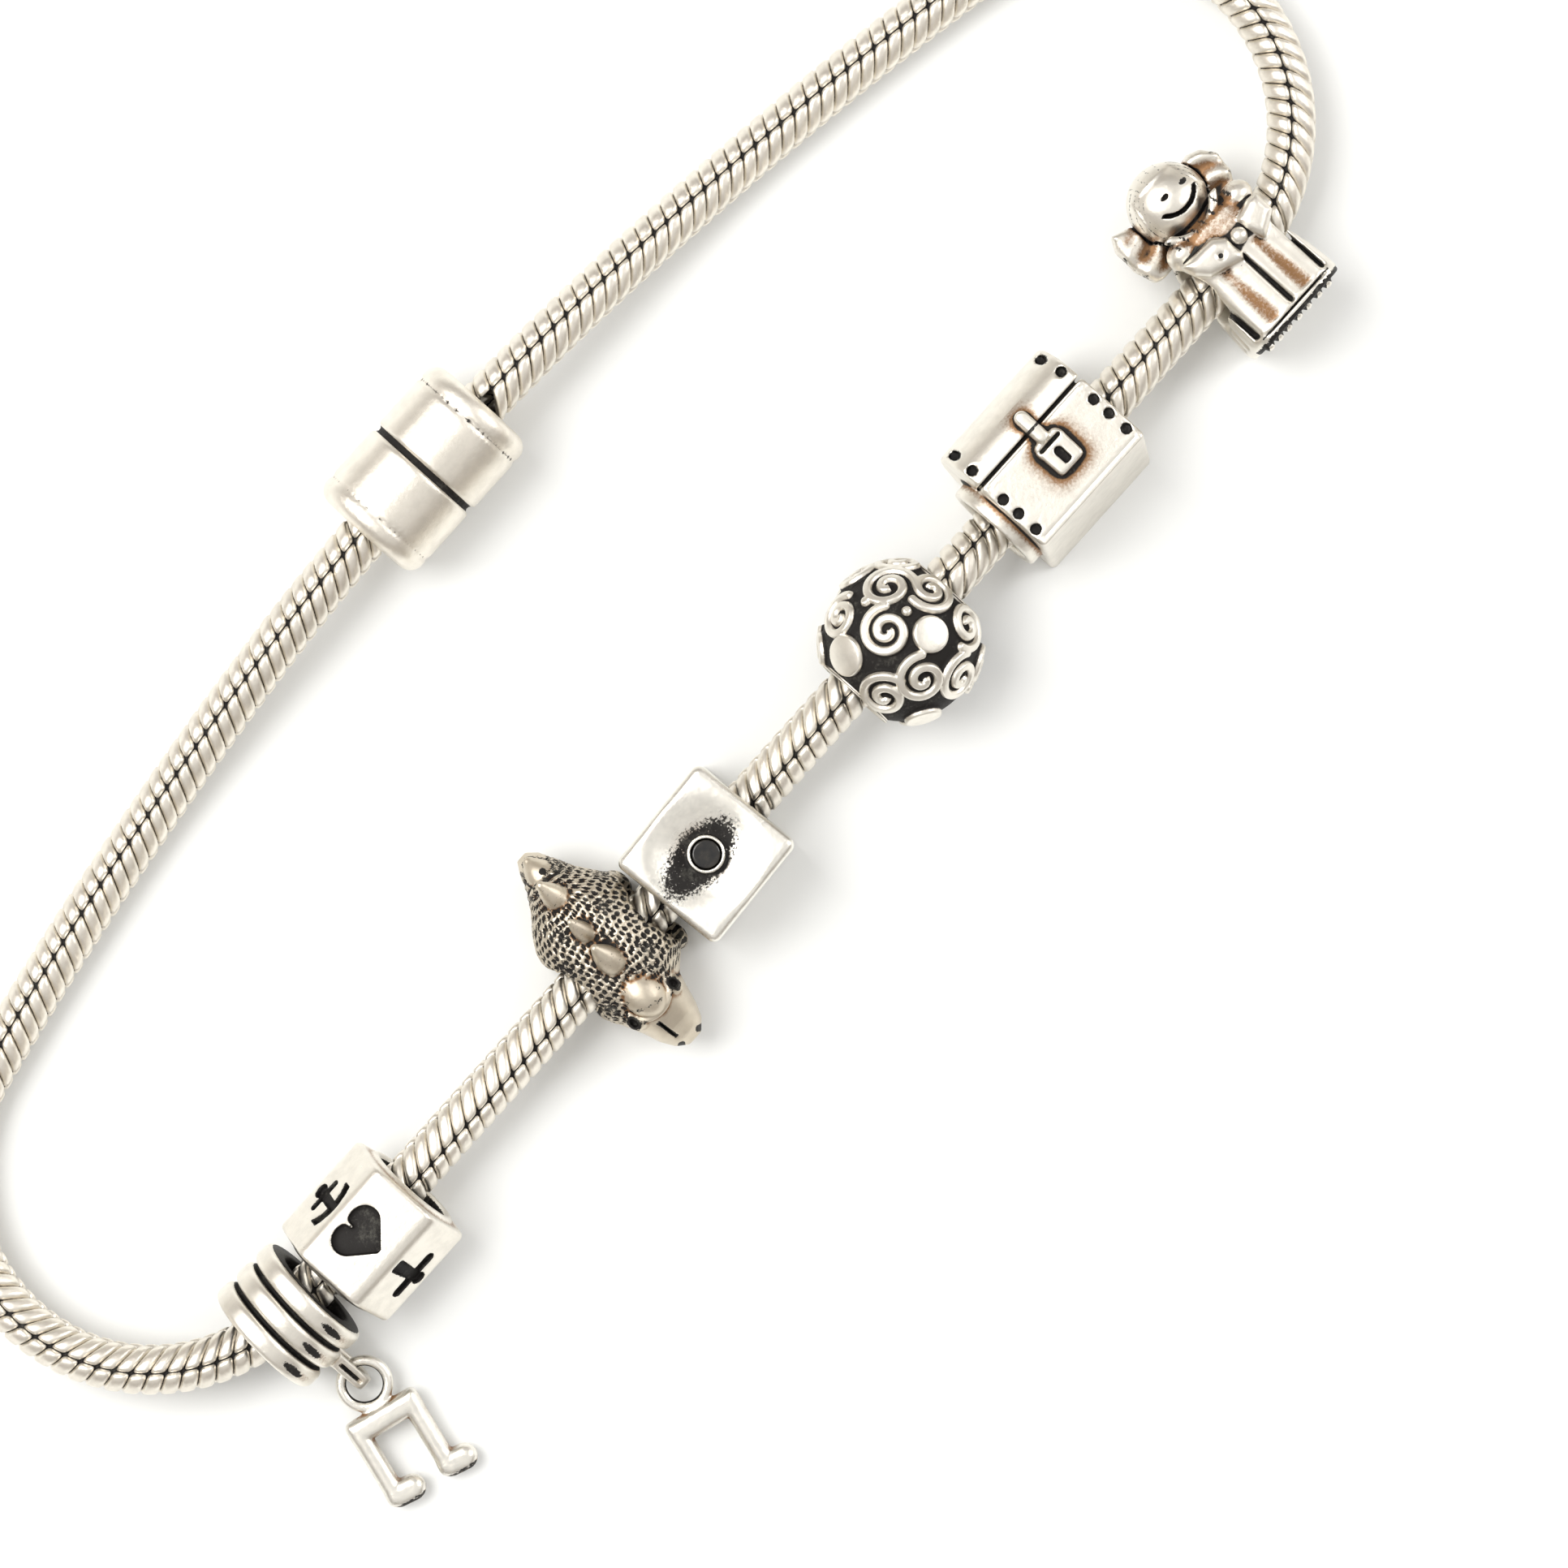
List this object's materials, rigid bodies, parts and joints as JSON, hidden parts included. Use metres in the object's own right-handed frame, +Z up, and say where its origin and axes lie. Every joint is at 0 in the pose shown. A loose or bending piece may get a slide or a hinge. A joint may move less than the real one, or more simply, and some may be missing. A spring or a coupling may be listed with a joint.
{
  "type": "charm bracelet",
  "caption": "Closed loop of round snake chain with cast silver charms threaded on its straight run, a note drop and a plain barrel clasp.",
  "frame": {"origin": "on the surface it lies on, under the middle of the whole bracelet", "axes": "+X along the straight run of charms, +Y towards the strand with the clasp, +Z up"},
  "size_m": [0.1048, 0.0438, 0.0096],
  "materials": {
    "chain_silver": "polished silver with dark lines between the scales",
    "cast_silver": "cast silver, oxidised dark in the recesses and polished on the high places",
    "dark_stone": "flat polished black stone"
  },
  "bodies": {
    "root": {"snake_chain": "chain_silver", "barrel_clasp": "chain_silver", "ridged_bead": "cast_silver", "music_note": "cast_silver", "hexagonal_drum": "cast_silver", "dinosaur": "cast_silver", "dished_cube": "cast_silver", "cube_stone": "dark_stone", "scroll_ball": "cast_silver", "treasure_chest": "cast_silver", "angel": "cast_silver"}
  },
  "joints": []
}
